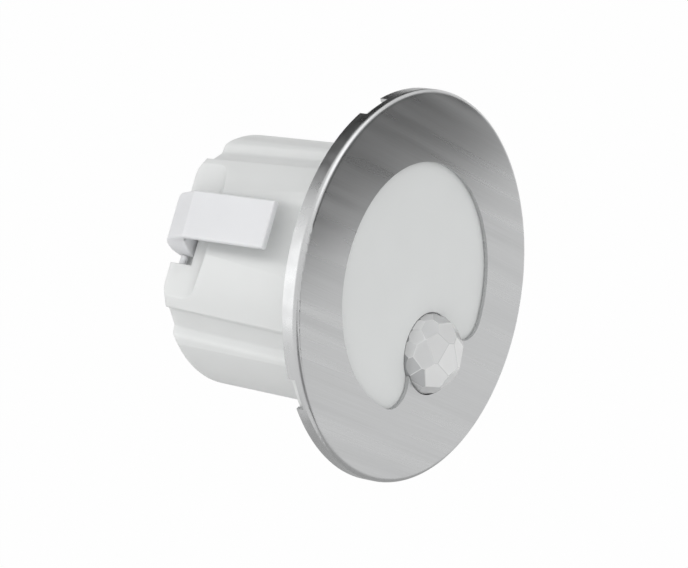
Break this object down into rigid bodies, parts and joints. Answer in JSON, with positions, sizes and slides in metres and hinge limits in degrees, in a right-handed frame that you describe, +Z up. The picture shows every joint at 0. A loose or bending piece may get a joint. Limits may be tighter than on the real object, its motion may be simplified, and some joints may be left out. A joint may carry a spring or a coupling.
{
  "type": "step light",
  "caption": "Round recessed step light: brushed steel bezel with a keyhole opening, opal diffuser, faceted motion sensor lens and a fluted housing with spring clips.",
  "frame": {"origin": "on the light's axis in the wall plane, where the bezel and the flange rest", "axes": "+Y into the wall along the housing, -Y towards the room, +Z up, the lens at the bottom"},
  "size_m": [0.08, 0.0515, 0.08],
  "materials": {
    "brushed_steel": "linear brushed, satin",
    "opal_plastic": "opal, translucent, satin",
    "lens_plastic": "milky, translucent, smooth facets",
    "housing_plastic": "white, fine moulded grain",
    "clip_plastic": "white, smooth",
    "white_board": "white solder mask",
    "green_board": "green solder mask",
    "led_package": "phosphor in a white frame",
    "zinc_steel": "zinc plated",
    "sensor_can": "drawn metal can",
    "filter_glass": "dark infrared filter",
    "black_plastic": "moulded",
    "clear_resin": "clear resin",
    "pin_brass": "plated",
    "terminal_plastic": "dark grey, moulded",
    "button_plastic": "orange, moulded",
    "ferrite": "sintered core with a dark winding",
    "capacitor_sleeve": "shrink sleeve",
    "film_case": "yellow case",
    "varistor_coat": "blue epoxy",
    "resistor_coat": "cement coat"
  },
  "bodies": {
    "fixture": {"diffuser": "opal_plastic", "pir_lens": "lens_plastic", "housing": "housing_plastic", "led_board": "white_board", "led_board_screws": "zinc_steel", "leds": "led_package", "dusk_sensor": "clear_resin", "pir_shroud": "black_plastic", "pir_sensor": "sensor_can", "sensor_window": "filter_glass", "driver_board": "green_board", "driver_board_screws": "zinc_steel", "header_strip": "black_plastic", "header_pins": "pin_brass", "terminal_block": "terminal_plastic", "terminal_contacts": "pin_brass", "choke": "ferrite", "electrolytic_capacitor": "capacitor_sleeve", "film_capacitor": "film_case", "varistor": "varistor_coat", "bridge_rectifier": "black_plastic", "driver_chip": "black_plastic", "fuse_resistor": "resistor_coat"},
    "bezel": {"trim_bezel": "brushed_steel"},
    "upper_clip": {"upper_clip": "clip_plastic"},
    "lower_clip": {"lower_clip": "clip_plastic"},
    "live_button": {"live_button": "button_plastic"},
    "neutral_button": {"neutral_button": "button_plastic"}
  },
  "joints": [
    {"name": "bezel_pull", "type": "slide", "parent": "fixture", "child": "bezel", "axis": [0, -1, 0], "range_m": [0, 0.014]},
    {"name": "upper_clip_flex", "type": "hinge", "parent": "fixture", "child": "upper_clip", "pos_m": [-0.01429, 0.04, 0.0147], "axis": [0.7169, 0, 0.6972], "range_deg": [0, 7.5], "stiffness_Nm_per_rad": 1},
    {"name": "lower_clip_flex", "type": "hinge", "parent": "fixture", "child": "lower_clip", "pos_m": [0.01429, 0.04, -0.0147], "axis": [-0.7169, 0, -0.6972], "range_deg": [0, 7.5], "stiffness_Nm_per_rad": 1},
    {"name": "live_button_press", "type": "slide", "parent": "fixture", "child": "live_button", "axis": [0, -1, 0], "range_m": [0, 0.0015], "stiffness_N_per_m": 1000},
    {"name": "neutral_button_press", "type": "slide", "parent": "fixture", "child": "neutral_button", "axis": [0, -1, 0], "range_m": [0, 0.0015], "stiffness_N_per_m": 1000}
  ]
}
